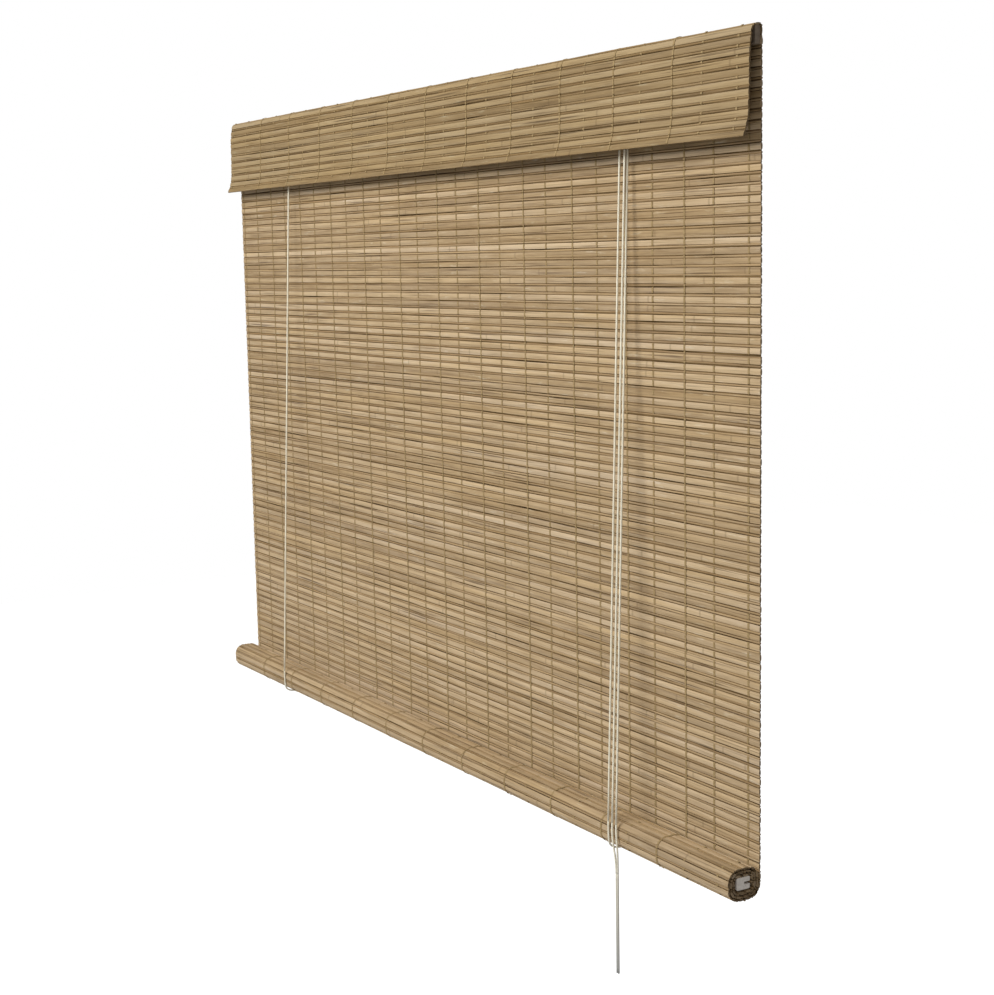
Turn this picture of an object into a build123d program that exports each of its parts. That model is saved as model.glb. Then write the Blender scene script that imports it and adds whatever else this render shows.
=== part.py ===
from build123d import *
from math import cos, pi, sin, tan
import os

# Bamboo roll-up blind, in millimetres.
# X runs along the blind, -Y faces the room, +Y the wall and +Z is up.
# The origin is midway between the two wall screw holes, on the wall's surface.

# Woven mat: wide slats and thin sticks in turn, held by a thin web of warp threads
mat_width = 1219.2
slat_width = 6.35
slat_thickness = 2.2
slat_bevel = 0.35
stick_width = 2.2
stick_bevel = 0.6
weave_gap = 0.44
web_thickness = 0.5
wall_gap = 3.0

# Headrail: a flat batten inside the mat's top fold
batten_depth = 6.0
batten_height = 17.0
batten_top = 7.8
batten_edge = 1.5
batten_inset = 1.5
fold_radius = 1.8

# Valance: the mat's end, folded forward over the batten, as (forward of its bend, height) of its middle
bend_start = 2.4
valance_line = [
    (3.6, 6.4),
    (5.7, -1.0),
    (7.2, -13.0),
    (7.6, -35.0),
    (8.4, -60.0),
    (9.6, -76.0),
    (14.0, -90.0),
]
valance_slats = 11

# Roll: the mat's lower end, wound flat round the bottom rail
wall_pitches = 15
drop_pitches = 71
roll_turns = 3
turn_pitch = 3.3
core_half_depth = 6.5
core_half_height = 3.5
outer_reach = 20.0

# Bottom rail
rail_depth = 16.4
rail_height = 12.6
rail_edge = 1.8
rail_inset = 1.5
rail_back_shift = 0.2
kerf_depth = 7.0
kerf_height = 2.6
kerf_bend = 1.2
kerf_end_gap = 0.35
rail_staple_spacing = 280.0
rail_staple_count = 5
rail_staple_bite = 2.3

# Hanger plates, their screws and the staples that hold the mat
hole_spacing = 1000.0
wall_hole = 5.0
hole_clearance = 0.25
plate_length = 44.0
plate_height = 14.0
plate_thickness = 1.5
plate_foot = 12.0
plate_corner = 2.0
plate_screw_spread = 32.0
plate_screw_diameter = 2.4
plate_screw_length = 7.5
plate_screw_head = 4.6
mat_staple_spacing = 151.0
mat_staple_count = 8
mat_staple_crown = 10.0
mat_staple_length = 7.0

# Lift cords and their wheels
cord_diameter = 2.2
cord_sides = 8
wheel_pitch_radius = 7.0
wheel_flange = 1.6
groove_floor_gap = 0.2
groove_bottom = 2.4
groove_top = 2.9
groove_spacing = 3.5
wheel_cheek = 0.55
wheel_height = -20.0
front_cord_depth = 12.3
left_wheel_x = -408.0
lock_wheel_x = 399.0
pin_diameter = 3.0
pin_head = 4.6
pin_head_thickness = 0.6
running_clearance = 0.05
side_clearance = 0.3

# Pulley bracket and cord lock housing, in sheet steel
sheet = 1.0
bracket_half_length = 9.5
bracket_ear = 8.0
bracket_drop = 22.0
bracket_corner = 5.0
lock_reach = 24.0
lock_drop = 31.0
bracket_screw_head = 4.4
bracket_screw_head_thickness = 1.3
bracket_screw_diameter = 2.4
bracket_screw_length = 8.0
cam_pivot_x = 16.0
cam_pivot_drop = 10.0
cam_hub = 3.4
cam_radius = 8.2
cam_tooth = 0.6
cam_teeth = 6
cam_first_angle = 200.0
cam_tooth_angle = 8.0
anvil_drop = 13.0
cord_nip = 0.1

# Staples that hold the cords' fixed ends on the batten's back
staple_wire = 0.45
staple_width = 1.2
staple_leg = 0.6
staple_clearance = 0.2
staple_height = 3.0
staple_bite = 5.0
cord_wall_gap = 0.5

# Places worked out from the sizes above
pitch = slat_width + stick_width + 2 * weave_gap
half_thickness = slat_thickness / 2
mat_back_y = -wall_gap
mat_middle_y = mat_back_y - half_thickness
mat_front_y = mat_back_y - slat_thickness
batten_back_y = mat_front_y
batten_front_y = batten_back_y - batten_depth
batten_bottom = batten_top - batten_height
batten_middle_y = (batten_back_y + batten_front_y) / 2
fold_z = batten_top + half_thickness
half_width = mat_width / 2
cord_radius = cord_diameter / 2


def chain_pieces(path, places):
    """Middle, direction, width and bevel of each slat or stick at these places along a path."""
    pieces = []
    for distance, wide in places:
        middle = path.position_at(distance, position_mode=PositionMode.LENGTH)
        along = path.tangent_at(distance, position_mode=PositionMode.LENGTH)
        width = slat_width if wide else stick_width
        bevel = slat_bevel if wide else stick_bevel
        pieces.append((middle, along, width, bevel))
    return pieces


def mat_outline(pieces):
    """Closed outline of a run of slats and sticks joined by the web, in the YZ plane."""
    left, right = [], []
    for middle, along, width, bevel in pieces:
        normal = Vector(-along.Y, along.X)
        start = middle - along * (width / 2)
        end = middle + along * (width / 2)
        for side, edge in ((1, left), (-1, right)):
            web = normal * (side * web_thickness / 2)
            face = normal * (side * half_thickness)
            edge.append(start + web)
            edge.append(start + along * bevel + face)
            edge.append(end - along * bevel + face)
            edge.append(end + web)
    return left + right[::-1]


def mat_places(first, count, step, start_wide):
    """Distances of slats and sticks in turn, half a step apart."""
    places = []
    for number in range(count):
        places.append((first + number * step / 2, (number % 2 == 0) == start_wide))
    return places


# Path of the mat's middle over the batten, from the fold's top down the back, and down the front
back_turn = Vector(mat_middle_y, fold_z)
apex = Vector(batten_middle_y, fold_z)
apex_to_turn = (back_turn - apex).length - fold_radius
back_arc = fold_radius * pi / 2
back_straight_z = fold_z - fold_radius
wall_length = (wall_pitches + 0.5) * pitch - stick_width / 2 - weave_gap / 2
drop_top = back_straight_z - (wall_length - apex_to_turn - back_arc)
roll_z = drop_top - drop_pitches * pitch
roll_y = mat_middle_y - outer_reach

back_path = FilletPolyline(apex, back_turn, (mat_middle_y, drop_top), radius=fold_radius)
front_points = [(batten_middle_y - bend_start, fold_z)]
for forward, height in valance_line:
    front_points.append((batten_middle_y - bend_start - forward, height))
front_bend = Spline(front_points, tangents=[(-1, 0), (-0.4, -1)], tangent_scalars=[1, 1])
front_path = Wire([Line(apex, front_points[0]), front_bend])

wall_places = mat_places(pitch / 2, 2 * wall_pitches, pitch, False)
valance_places = mat_places(pitch / 2, 2 * valance_slats, pitch, False)
wall_pieces = chain_pieces(back_path, wall_places)
valance_pieces = chain_pieces(front_path, valance_places)
top_piece = (apex, Vector(1, 0), slat_width, slat_bevel)
front_run = [(m, along * -1, width, bevel) for m, along, width, bevel in reversed(valance_pieces)]
mat_run = front_run + [top_piece] + wall_pieces

# Holes that go through the mat's back wall into the batten
plate_xs = [-hole_spacing / 2, hole_spacing / 2]
plate_screw_xs = []
for plate_x in plate_xs:
    plate_screw_xs.append(plate_x - plate_screw_spread / 2)
    plate_screw_xs.append(plate_x + plate_screw_spread / 2)
mat_staple_xs = [(n - (mat_staple_count - 1) / 2) * mat_staple_spacing for n in range(mat_staple_count)]
mat_staple_z = wall_pieces[3][0].Y
mat_leg_x = (mat_staple_crown - staple_leg) / 2
left_strand_x = left_wheel_x - wheel_pitch_radius
right_strand_x = lock_wheel_x - wheel_pitch_radius
pull_strand_x = lock_wheel_x + wheel_pitch_radius
left_sling_x = -420.0
right_sling_x = 410.0
staple_gap = cord_diameter + 2 * staple_clearance
staple_leg_x = (staple_gap + staple_leg) / 2
leg_hole = (staple_leg + 2 * running_clearance, staple_width + 2 * running_clearance)
sling_xs = [left_sling_x, right_sling_x]


def wall_plane(x, y, z):
    """Plane that faces the wall, with its sketch seen from the room."""
    return Plane(origin=(x, y, z), x_dir=(1, 0, 0), z_dir=(0, -1, 0))


def drill_back(y, depth, shank_clearance):
    """Cut the screw and staple holes from this depth forward, in the part being built."""
    with BuildSketch(wall_plane(0, y, 0)) as wall_holes:
        with Locations([(x, 0) for x in plate_xs]):
            Circle(wall_hole / 2 + shank_clearance)
    extrude(wall_holes.sketch, amount=depth, mode=Mode.SUBTRACT)
    with BuildSketch(wall_plane(0, y, 0)) as small_holes:
        with Locations([(x, 0) for x in plate_screw_xs]):
            Circle(plate_screw_diameter / 2 + running_clearance)
        with Locations([(x + side * mat_leg_x, mat_staple_z) for x in mat_staple_xs for side in (-1, 1)]):
            Rectangle(*leg_hole)
        with Locations([(x + side * staple_leg_x, staple_height) for x in sling_xs for side in (-1, 1)]):
            Rectangle(*leg_hole)
    extrude(small_holes.sketch, amount=depth, mode=Mode.SUBTRACT)


# Woven mat: valance, fold over the batten and the wall below it that stays up
with BuildPart() as woven_mat:
    with BuildSketch(Plane.YZ):
        with BuildLine():
            Polyline(*mat_outline(mat_run), close=True)
        make_face()
    extrude(amount=half_width, both=True)
    drill_back(mat_back_y, slat_thickness, hole_clearance)

# Lower wall of the same mat, which rolls up
drop_path = Line((mat_middle_y, drop_top), (mat_middle_y, roll_z))
first_stick = (stick_width + weave_gap) / 2
drop_pieces = chain_pieces(drop_path, mat_places(first_stick, 2 * drop_pitches, pitch, False))
with BuildPart() as mat_drop:
    with BuildSketch(Plane.YZ):
        with BuildLine():
            Polyline(*mat_outline(drop_pieces), close=True)
        make_face()
    extrude(amount=half_width, both=True)


def roll_layer(quarter):
    """Reach of the roll beyond its core's corners after this many quarter turns."""
    return outer_reach - core_half_depth - turn_pitch * quarter / 4


# Path of the roll's middle: quarter turns round the four corners of a flat core, drawing inwards
core_corners = [(1, -1), (-1, -1), (-1, 1), (1, 1)]
arc_steps = 4
roll_points = [Vector(roll_y + outer_reach, roll_z)]
for quarter in range(4 * roll_turns):
    across, up = core_corners[quarter % 4]
    corner = Vector(roll_y + across * core_half_depth, roll_z + up * core_half_height)
    for step in range(arc_steps + 1):
        turn = quarter + step / arc_steps
        angle = -turn * pi / 2
        roll_points.append(corner + Vector(cos(angle), sin(angle)) * roll_layer(turn))
inner_y = roll_points[-1].X
rail_y = roll_y + rail_back_shift
rail_back_y = rail_y + rail_depth / 2
kerf_floor_y = rail_back_y - kerf_depth
spiral = Spline(roll_points)
kerf_turn = FilletPolyline(
    roll_points[-1], (inner_y, roll_z), (kerf_floor_y + kerf_end_gap - weave_gap / 2, roll_z), radius=kerf_bend
)
roll_path = Wire([spiral] + kerf_turn.edges())
roll_pitches = round(roll_path.length / pitch)
roll_step = roll_path.length / roll_pitches
roll_pieces = chain_pieces(roll_path, mat_places(first_stick, 2 * roll_pitches, roll_step, False))
rail_staple_xs = [(n - (rail_staple_count - 1) / 2) * rail_staple_spacing for n in range(rail_staple_count)]
rail_staple_y = kerf_floor_y + kerf_end_gap + slat_width / 2


def drill_rail(z, height):
    """Cut the rail staples' leg holes upward from this height, in the part being built."""
    with BuildSketch(Plane.XY.offset(z)) as holes:
        with Locations([(x + side * mat_leg_x, rail_staple_y) for x in rail_staple_xs for side in (-1, 1)]):
            Rectangle(*leg_hole)
    extrude(holes.sketch, amount=height, mode=Mode.SUBTRACT)


with BuildPart() as mat_roll:
    with BuildSketch(Plane.YZ):
        with BuildLine():
            Polyline(*mat_outline(roll_pieces), close=True)
        make_face()
    extrude(amount=half_width, both=True)
    drill_rail(roll_z - half_thickness, slat_thickness)

# Bottom rail, with the kerf that takes the mat's last slat
rail_bottom = roll_z - rail_height / 2
rail_staple_top = roll_z + kerf_height / 2 + rail_staple_bite
with BuildPart() as bottom_rail:
    with BuildSketch(Plane.YZ):
        with Locations((rail_y, roll_z)):
            RectangleRounded(rail_depth, rail_height, rail_edge)
        with Locations((rail_back_y - kerf_depth / 2, roll_z)):
            Rectangle(kerf_depth, kerf_height, mode=Mode.SUBTRACT)
    extrude(amount=half_width - rail_inset, both=True)
    drill_rail(rail_bottom, rail_staple_top - rail_bottom)
    with BuildSketch(Plane.XY.offset(rail_bottom)):
        with Locations([(x, rail_staple_y) for x in rail_staple_xs]):
            Rectangle(mat_staple_crown + 2 * running_clearance, staple_width + 2 * running_clearance)
    extrude(amount=staple_wire, mode=Mode.SUBTRACT)

# Staples driven up through the rail and the slat in its kerf, with their crowns let into the rail
rail_leg = rail_staple_top - running_clearance - rail_bottom
with BuildPart() as rail_staples:
    with BuildSketch(wall_plane(0, rail_staple_y + staple_width / 2, 0)):
        for staple_x in rail_staple_xs:
            with Locations((staple_x, rail_bottom + staple_wire / 2)):
                Rectangle(mat_staple_crown, staple_wire)
            for side in (-1, 1):
                with Locations((staple_x + side * mat_leg_x, rail_bottom + rail_leg / 2)):
                    Rectangle(staple_leg, rail_leg)
    extrude(amount=staple_width)

# Headrail batten
bracket_screw_y = batten_middle_y
left_ear = bracket_half_length + bracket_ear / 2
left_screw_xs = [left_wheel_x - left_ear, left_wheel_x + left_ear]
lock_screw_xs = [lock_wheel_x - left_ear, lock_wheel_x + lock_reach + bracket_ear / 2]
bracket_screw_tip = batten_bottom - sheet + bracket_screw_length
with BuildPart() as headrail:
    with BuildSketch(Plane.YZ):
        with Locations((batten_middle_y, (batten_top + batten_bottom) / 2)):
            RectangleRounded(batten_depth, batten_height, batten_edge)
    extrude(amount=half_width - batten_inset, both=True)
    drill_back(batten_back_y, batten_depth, 0)
    with BuildSketch(Plane.XY.offset(batten_bottom)):
        with Locations([(x, bracket_screw_y) for x in left_screw_xs + lock_screw_xs]):
            Circle(bracket_screw_diameter / 2 + running_clearance)
    extrude(amount=bracket_screw_tip - batten_bottom, mode=Mode.SUBTRACT)


def screw_section(x, z):
    """Plane through an axis that faces the wall: sketch X is the radius, sketch Y is Y."""
    return Plane(origin=(x, 0, z), x_dir=(1, 0, 0), z_dir=(0, 0, 1))


def countersunk(x, clearance, mode):
    """A plate screw's countersunk head and shank, added to or cut from the part being built."""
    face = wall_plane(x, mat_back_y + plate_thickness, 0)
    head = plate_screw_head / 2 + clearance
    shank = plate_screw_diameter / 2 + clearance
    with BuildSketch(face) as head_circle:
        Circle(head)
    extrude(head_circle.sketch, amount=head - shank, taper=45, mode=mode)
    with BuildSketch(face) as shank_circle:
        Circle(shank)
    extrude(shank_circle.sketch, amount=plate_screw_length, mode=mode)


def hanger_plate(x):
    """Joggled steel strip: its middle lies on the wall and its two feet on the mat's back."""
    step = wall_gap - plate_thickness
    inner = plate_length / 2 - plate_foot
    with BuildPart() as plate:
        with BuildSketch(Plane.XY.offset(-plate_height / 2)):
            with BuildLine():
                Polyline(
                    (x - plate_length / 2, -wall_gap),
                    (x - plate_length / 2, -step),
                    (x - inner - step, -step),
                    (x - inner, 0),
                    (x + inner, 0),
                    (x + inner + step, -step),
                    (x + plate_length / 2, -step),
                    (x + plate_length / 2, -wall_gap),
                    (x + inner + step - plate_thickness / 2, -wall_gap),
                    (x + inner - plate_thickness / 2, -plate_thickness),
                    (x - inner + plate_thickness / 2, -plate_thickness),
                    (x - inner - step + plate_thickness / 2, -wall_gap),
                    close=True,
                )
            make_face()
        extrude(amount=plate_height)
        ends = plate.edges().filter_by(Axis.Y).group_by(Axis.X)
        fillet(ends[0] + ends[-1], plate_corner)
        with BuildSketch(wall_plane(x, 0, 0)):
            Circle(wall_hole / 2)
        extrude(amount=wall_gap, mode=Mode.SUBTRACT)
        for side in (-1, 1):
            countersunk(x + side * plate_screw_spread / 2, running_clearance, Mode.SUBTRACT)
    return plate.part


with BuildPart() as hanger_screws:
    for screw_x in plate_screw_xs:
        countersunk(screw_x, 0, Mode.ADD)

# Staples that hold the mat's back to the batten
with BuildPart() as mat_staples:
    with BuildSketch(Plane.XY.offset(mat_staple_z - staple_width / 2)):
        for staple_x in mat_staple_xs:
            with Locations((staple_x, mat_back_y + staple_wire / 2)):
                Rectangle(mat_staple_crown, staple_wire)
            for side in (-1, 1):
                with Locations((staple_x + side * mat_leg_x, mat_back_y - mat_staple_length / 2)):
                    Rectangle(staple_leg, mat_staple_length)
    extrude(amount=staple_width)

# Staples over the cords' fixed ends: a crown and two legs driven through the mat into the batten
cord_back_y = -(cord_wall_gap + cord_radius)
crown_front_y = cord_back_y + cord_radius + running_clearance
leg_tip_y = batten_back_y - staple_bite
with BuildPart() as cord_staples:
    for sling_x in sling_xs:
        with BuildSketch(Plane.XY.offset(staple_height - staple_width / 2)):
            with Locations((sling_x, crown_front_y + staple_wire / 2)):
                Rectangle(2 * staple_leg_x + staple_leg, staple_wire)
            for side in (-1, 1):
                with Locations((sling_x + side * staple_leg_x, (crown_front_y + leg_tip_y) / 2)):
                    Rectangle(staple_leg, crown_front_y - leg_tip_y)
        extrude(amount=staple_width)

# Wheels: one groove for the left cord, and a groove for each cord in the lock
front_groove_y = -front_cord_depth
back_groove_y = front_groove_y + groove_spacing
wheel_radius = wheel_pitch_radius + wheel_flange
groove_floor = wheel_pitch_radius - cord_radius - groove_floor_gap
wheel_edge = groove_top / 2 + wheel_cheek


def grooved_wheel(x, grooves):
    """Wheel round a Y axis with a groove at each of these depths, front-most last."""
    bore = pin_diameter / 2 + running_clearance
    outline = [(bore, grooves[0] + wheel_edge), (wheel_radius, grooves[0] + wheel_edge)]
    for groove in grooves:
        outline.append((wheel_radius, groove + groove_top / 2))
        outline.append((groove_floor, groove + groove_bottom / 2))
        outline.append((groove_floor, groove - groove_bottom / 2))
        outline.append((wheel_radius, groove - groove_top / 2))
    outline.append((wheel_radius, grooves[-1] - wheel_edge))
    outline.append((bore, grooves[-1] - wheel_edge))
    with BuildPart() as wheel:
        with BuildSketch(screw_section(x, wheel_height)):
            with BuildLine():
                Polyline(*outline, close=True)
            make_face()
        revolve(axis=Axis((x, 0, wheel_height), (0, 1, 0)))
    return wheel.part


# Sheet-steel frames that carry the wheels under the batten
frame_front_y = front_groove_y - wheel_edge - side_clearance - sheet
left_frame_y = front_groove_y + wheel_edge + side_clearance + sheet
lock_frame_y = back_groove_y + wheel_edge + side_clearance + sheet
ear_top = batten_bottom - sheet


def wheel_frame(x, back_y, reach, drop, pins, screw_xs):
    """Two side plates under a top plate with a screw ear at each end."""
    left = x - bracket_half_length
    middle = (left + x + reach) / 2
    length = bracket_half_length + reach
    with BuildPart() as frame:
        for plate_y in (back_y, frame_front_y + sheet):
            with BuildSketch(wall_plane(0, plate_y, 0)):
                with Locations((middle, batten_bottom - drop / 2)):
                    Rectangle(length, drop)
            extrude(amount=sheet)
        fillet(frame.edges().filter_by(Axis.Y).group_by(Axis.Z)[0], bracket_corner)
        with BuildSketch(Plane.XY.offset(ear_top)):
            with Locations((middle, (back_y + frame_front_y) / 2)):
                Rectangle(length, back_y - frame_front_y)
            with Locations([(screw_x, batten_middle_y) for screw_x in screw_xs]):
                Rectangle(bracket_ear + sheet, batten_depth)
        extrude(amount=sheet)
        ends = frame.edges().filter_by(Axis.Z).group_by(Axis.X)
        fillet(ends[0] + ends[-1], batten_edge)
        with BuildSketch(Plane.XY.offset(ear_top)):
            with Locations([(screw_x, batten_middle_y) for screw_x in screw_xs]):
                Circle(bracket_screw_diameter / 2 + running_clearance)
        extrude(amount=sheet, mode=Mode.SUBTRACT)
        with BuildSketch(wall_plane(0, back_y, 0)):
            with Locations(pins):
                Circle(pin_diameter / 2)
        extrude(amount=back_y - frame_front_y, mode=Mode.SUBTRACT)
    return frame.part


def cross_pins(back_y, centres):
    """Pins through both side plates, headed in front and flush behind."""
    with BuildPart() as pins:
        with BuildSketch(wall_plane(0, back_y, 0)):
            with Locations(centres):
                Circle(pin_diameter / 2)
        extrude(amount=back_y - frame_front_y)
        with BuildSketch(wall_plane(0, frame_front_y, 0)):
            with Locations(centres):
                Circle(pin_head / 2)
        extrude(amount=pin_head_thickness)
    return pins.part


def frame_screws(screw_xs):
    """Screws driven up through a frame's ears into the batten."""
    centres = [(screw_x, batten_middle_y) for screw_x in screw_xs]
    with BuildPart() as screws:
        with BuildSketch(Plane.XY.offset(ear_top - bracket_screw_head_thickness)):
            with Locations(centres):
                Circle(bracket_screw_head / 2)
        extrude(amount=bracket_screw_head_thickness)
        with BuildSketch(Plane.XY.offset(ear_top)):
            with Locations(centres):
                Circle(bracket_screw_diameter / 2)
        extrude(amount=bracket_screw_tip - running_clearance - ear_top)
    return screws.part


cam_x = lock_wheel_x + cam_pivot_x
cam_z = wheel_height - cam_pivot_drop
anvil_x = pull_strand_x - cord_radius - cord_nip - pin_diameter / 2
anvil_z = wheel_height - anvil_drop

# Cam that nips both pull cords against the anvil pin
with BuildPart() as cord_lock_cam:
    with BuildSketch(wall_plane(cam_x, back_groove_y + wheel_edge, cam_z)):
        with BuildLine():
            teeth = [(0, 0)]
            for number in range(2 * cam_teeth - 1):
                angle = (cam_first_angle + number * cam_tooth_angle / 2) * pi / 180
                radius = cam_radius - cam_tooth * (number % 2)
                teeth.append((radius * cos(angle), radius * sin(angle)))
            Polyline(*teeth, close=True)
        make_face()
        Circle(cam_hub)
        Circle(pin_diameter / 2 + running_clearance, mode=Mode.SUBTRACT)
    extrude(amount=groove_spacing + 2 * wheel_edge)

# Cords. Each is one length: from its staple down behind the mat, under the roll, up in front,
# over its wheels and down again, over the roll's front, to its cut end
strand_end = -44.0
sling_top = -790.0
piece_gap = 0.2
over_wheel = wheel_height + wheel_pitch_radius
left_drape_points = [
    (417.6, -45.2, -790.0),
    (418.2, -45.9, -803.0),
    (421.4, -46.6, -815.0),
    (426.3, -47.1, -828.0),
    (427.4, -47.2, -842.0),
]
right_drape_points = [
    (424.8, -45.2, -790.0),
    (425.8, -45.9, -803.0),
    (428.4, -46.6, -815.0),
    (429.7, -47.1, -828.0),
    (429.9, -47.2, -842.0),
]
tail_end = -951.5


def sling_points(x):
    """The cord's way under the roll, from its front to the wall side."""
    return [
        (x, -44.9, -790.0),
        (x, -45.0, -810.5),
        (x, -42.6, -817.2),
        (x, -34.8, -821.4),
        (x, -12.6, -821.4),
        (x, -4.2, -817.0),
        (x, -1.6, -809.5),
        (x, -1.6, -790.0),
    ]


def soft_radii(points):
    """As large an arc at each corner as its two runs allow."""
    radii = []
    for before, corner, after in zip(points, points[1:], points[2:]):
        back, ahead = Vector(corner) - Vector(before), Vector(after) - Vector(corner)
        half_turn = back.get_angle(ahead) * pi / 360
        radii.append(0.45 * min(back.length, ahead.length) / tan(half_turn))
    return radii


def cord_run(points, radii=None):
    """Round cord along straight runs joined by arcs."""
    with BuildPart() as run:
        with BuildLine() as route:
            if len(points) == 2:
                Line(*points)
            else:
                FilletPolyline(*points, radius=radii or soft_radii(points))
        with BuildSketch(Plane(origin=route.line @ 0, z_dir=route.line % 0)):
            RegularPolygon(cord_radius, cord_sides)
        sweep()
    return run.part


def over_lock_wheel():
    """The right cord's half turn over the lock's back groove, with a straight stretch on each side."""
    with BuildPart() as run:
        with BuildLine() as route:
            Line((right_strand_x, back_groove_y, strand_end), (right_strand_x, back_groove_y, wheel_height))
            ThreePointArc(
                (right_strand_x, back_groove_y, wheel_height),
                (lock_wheel_x, back_groove_y, over_wheel),
                (pull_strand_x, back_groove_y, wheel_height),
            )
            Line((pull_strand_x, back_groove_y, wheel_height), (pull_strand_x, back_groove_y, strand_end))
        with BuildSketch(Plane(origin=route.line @ 0, z_dir=route.line % 0)):
            RegularPolygon(cord_radius, cord_sides)
        sweep()
    return run.part


def lowered(point, distance):
    return (point[0], point[1], point[2] - distance)


left_head_points = [
    (left_strand_x, front_groove_y, strand_end),
    (left_strand_x, front_groove_y, over_wheel),
    (pull_strand_x, front_groove_y, over_wheel),
    (pull_strand_x, front_groove_y, strand_end),
]
pieces = {
    "woven_mat": woven_mat.part,
    "mat_drop": mat_drop.part,
    "mat_roll": mat_roll.part,
    "bottom_rail": bottom_rail.part,
    "rail_staples": rail_staples.part,
    "headrail": headrail.part,
    "hanger_plate_left": hanger_plate(plate_xs[0]),
    "hanger_plate_right": hanger_plate(plate_xs[1]),
    "hanger_screws": hanger_screws.part,
    "mat_staples": mat_staples.part,
    "cord_staples": cord_staples.part,
    "left_pulley_bracket": wheel_frame(
        left_wheel_x,
        left_frame_y,
        bracket_half_length,
        bracket_drop,
        [(left_wheel_x, wheel_height)],
        left_screw_xs,
    ),
    "left_pulley_wheel": grooved_wheel(left_wheel_x, [front_groove_y]),
    "left_pulley_pin": cross_pins(left_frame_y, [(left_wheel_x, wheel_height)]),
    "left_pulley_screws": frame_screws(left_screw_xs),
    "cord_lock_housing": wheel_frame(
        lock_wheel_x,
        lock_frame_y,
        lock_reach,
        lock_drop,
        [(lock_wheel_x, wheel_height), (cam_x, cam_z), (anvil_x, anvil_z)],
        lock_screw_xs,
    ),
    "cord_lock_wheel": grooved_wheel(lock_wheel_x, [back_groove_y, front_groove_y]),
    "cord_lock_wheel_pin": cross_pins(lock_frame_y, [(lock_wheel_x, wheel_height)]),
    "cord_lock_cam": cord_lock_cam.part,
    "cord_lock_cam_pin": cross_pins(lock_frame_y, [(cam_x, cam_z)]),
    "cord_lock_anvil_pin": cross_pins(lock_frame_y, [(anvil_x, anvil_z)]),
    "cord_lock_screws": frame_screws(lock_screw_xs),
    "left_cord_head_run": cord_run(left_head_points, [wheel_pitch_radius] * 2),
    "right_cord_head_run": over_lock_wheel(),
}
cords = [
    ("left", left_sling_x, left_strand_x, front_groove_y, left_drape_points),
    ("right", right_sling_x, right_strand_x, back_groove_y, right_drape_points),
]
for side, sling_x, strand_x, groove_y, drape in cords:
    sling = sling_points(sling_x)
    tail_top = lowered(drape[-1], piece_gap)
    pull_top = (pull_strand_x, groove_y, strand_end - piece_gap / 2)
    back_top = (sling_x, cord_back_y, staple_height + 2 * staple_width)
    pieces[side + "_cord_back"] = cord_run([back_top, lowered(sling[-1], -piece_gap)])
    pieces[side + "_cord_sling"] = cord_run(sling)
    pieces[side + "_cord_front"] = cord_run(
        [(strand_x, groove_y, strand_end - piece_gap / 2), lowered(sling[0], -piece_gap)]
    )
    pieces[side + "_cord_pull"] = cord_run([pull_top, lowered(drape[0], -piece_gap)])
    pieces[side + "_cord_drape"] = cord_run(drape)
    pieces[side + "_cord_tail"] = cord_run([tail_top, (tail_top[0], tail_top[1], tail_end)])

os.makedirs("parts", exist_ok=True)
for name, piece in pieces.items():
    piece.label = name
    export_step(piece, f"parts/{name}.step")
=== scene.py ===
import math

import bmesh
import bpy
from mathutils import Matrix, Vector


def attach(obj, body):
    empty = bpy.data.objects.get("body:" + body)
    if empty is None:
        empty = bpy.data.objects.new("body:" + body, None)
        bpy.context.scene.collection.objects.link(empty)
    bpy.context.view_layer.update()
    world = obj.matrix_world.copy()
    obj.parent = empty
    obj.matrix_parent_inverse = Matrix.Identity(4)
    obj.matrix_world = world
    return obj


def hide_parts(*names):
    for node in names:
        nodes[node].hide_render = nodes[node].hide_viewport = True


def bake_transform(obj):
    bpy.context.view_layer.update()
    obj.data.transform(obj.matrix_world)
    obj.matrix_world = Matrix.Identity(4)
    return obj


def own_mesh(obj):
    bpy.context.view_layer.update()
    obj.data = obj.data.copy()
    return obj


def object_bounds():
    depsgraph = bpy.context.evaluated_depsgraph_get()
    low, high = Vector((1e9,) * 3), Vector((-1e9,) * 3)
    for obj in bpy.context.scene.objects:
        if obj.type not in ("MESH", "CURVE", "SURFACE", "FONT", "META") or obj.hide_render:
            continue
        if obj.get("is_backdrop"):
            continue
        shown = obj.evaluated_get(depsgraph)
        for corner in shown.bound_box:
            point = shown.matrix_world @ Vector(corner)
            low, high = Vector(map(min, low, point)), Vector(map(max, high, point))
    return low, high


# Bamboo roll-up blind: woven slats, warp threads, lift cords and the hardware behind the valance.
# Metres, in the CAD's frame: X along the blind, -Y towards the room, Z up.

MM = 0.001
SLAT_WIDTH = 6.35 * MM
STICK_WIDTH = 2.2 * MM
SLAT_THICKNESS = 2.2 * MM
SLAT_BEVEL = 0.35 * MM
STICK_BEVEL = 0.6 * MM
HALF_WIDTH = 609.6 * MM
CORD_DIAMETER = 2.2 * MM
CORD_SIDES = 12

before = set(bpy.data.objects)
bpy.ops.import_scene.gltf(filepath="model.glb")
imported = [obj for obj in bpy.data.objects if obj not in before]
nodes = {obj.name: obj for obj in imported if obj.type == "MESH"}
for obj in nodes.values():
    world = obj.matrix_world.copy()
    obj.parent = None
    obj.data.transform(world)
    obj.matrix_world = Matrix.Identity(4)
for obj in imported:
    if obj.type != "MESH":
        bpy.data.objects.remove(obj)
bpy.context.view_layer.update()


# Where the slats lie

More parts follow.
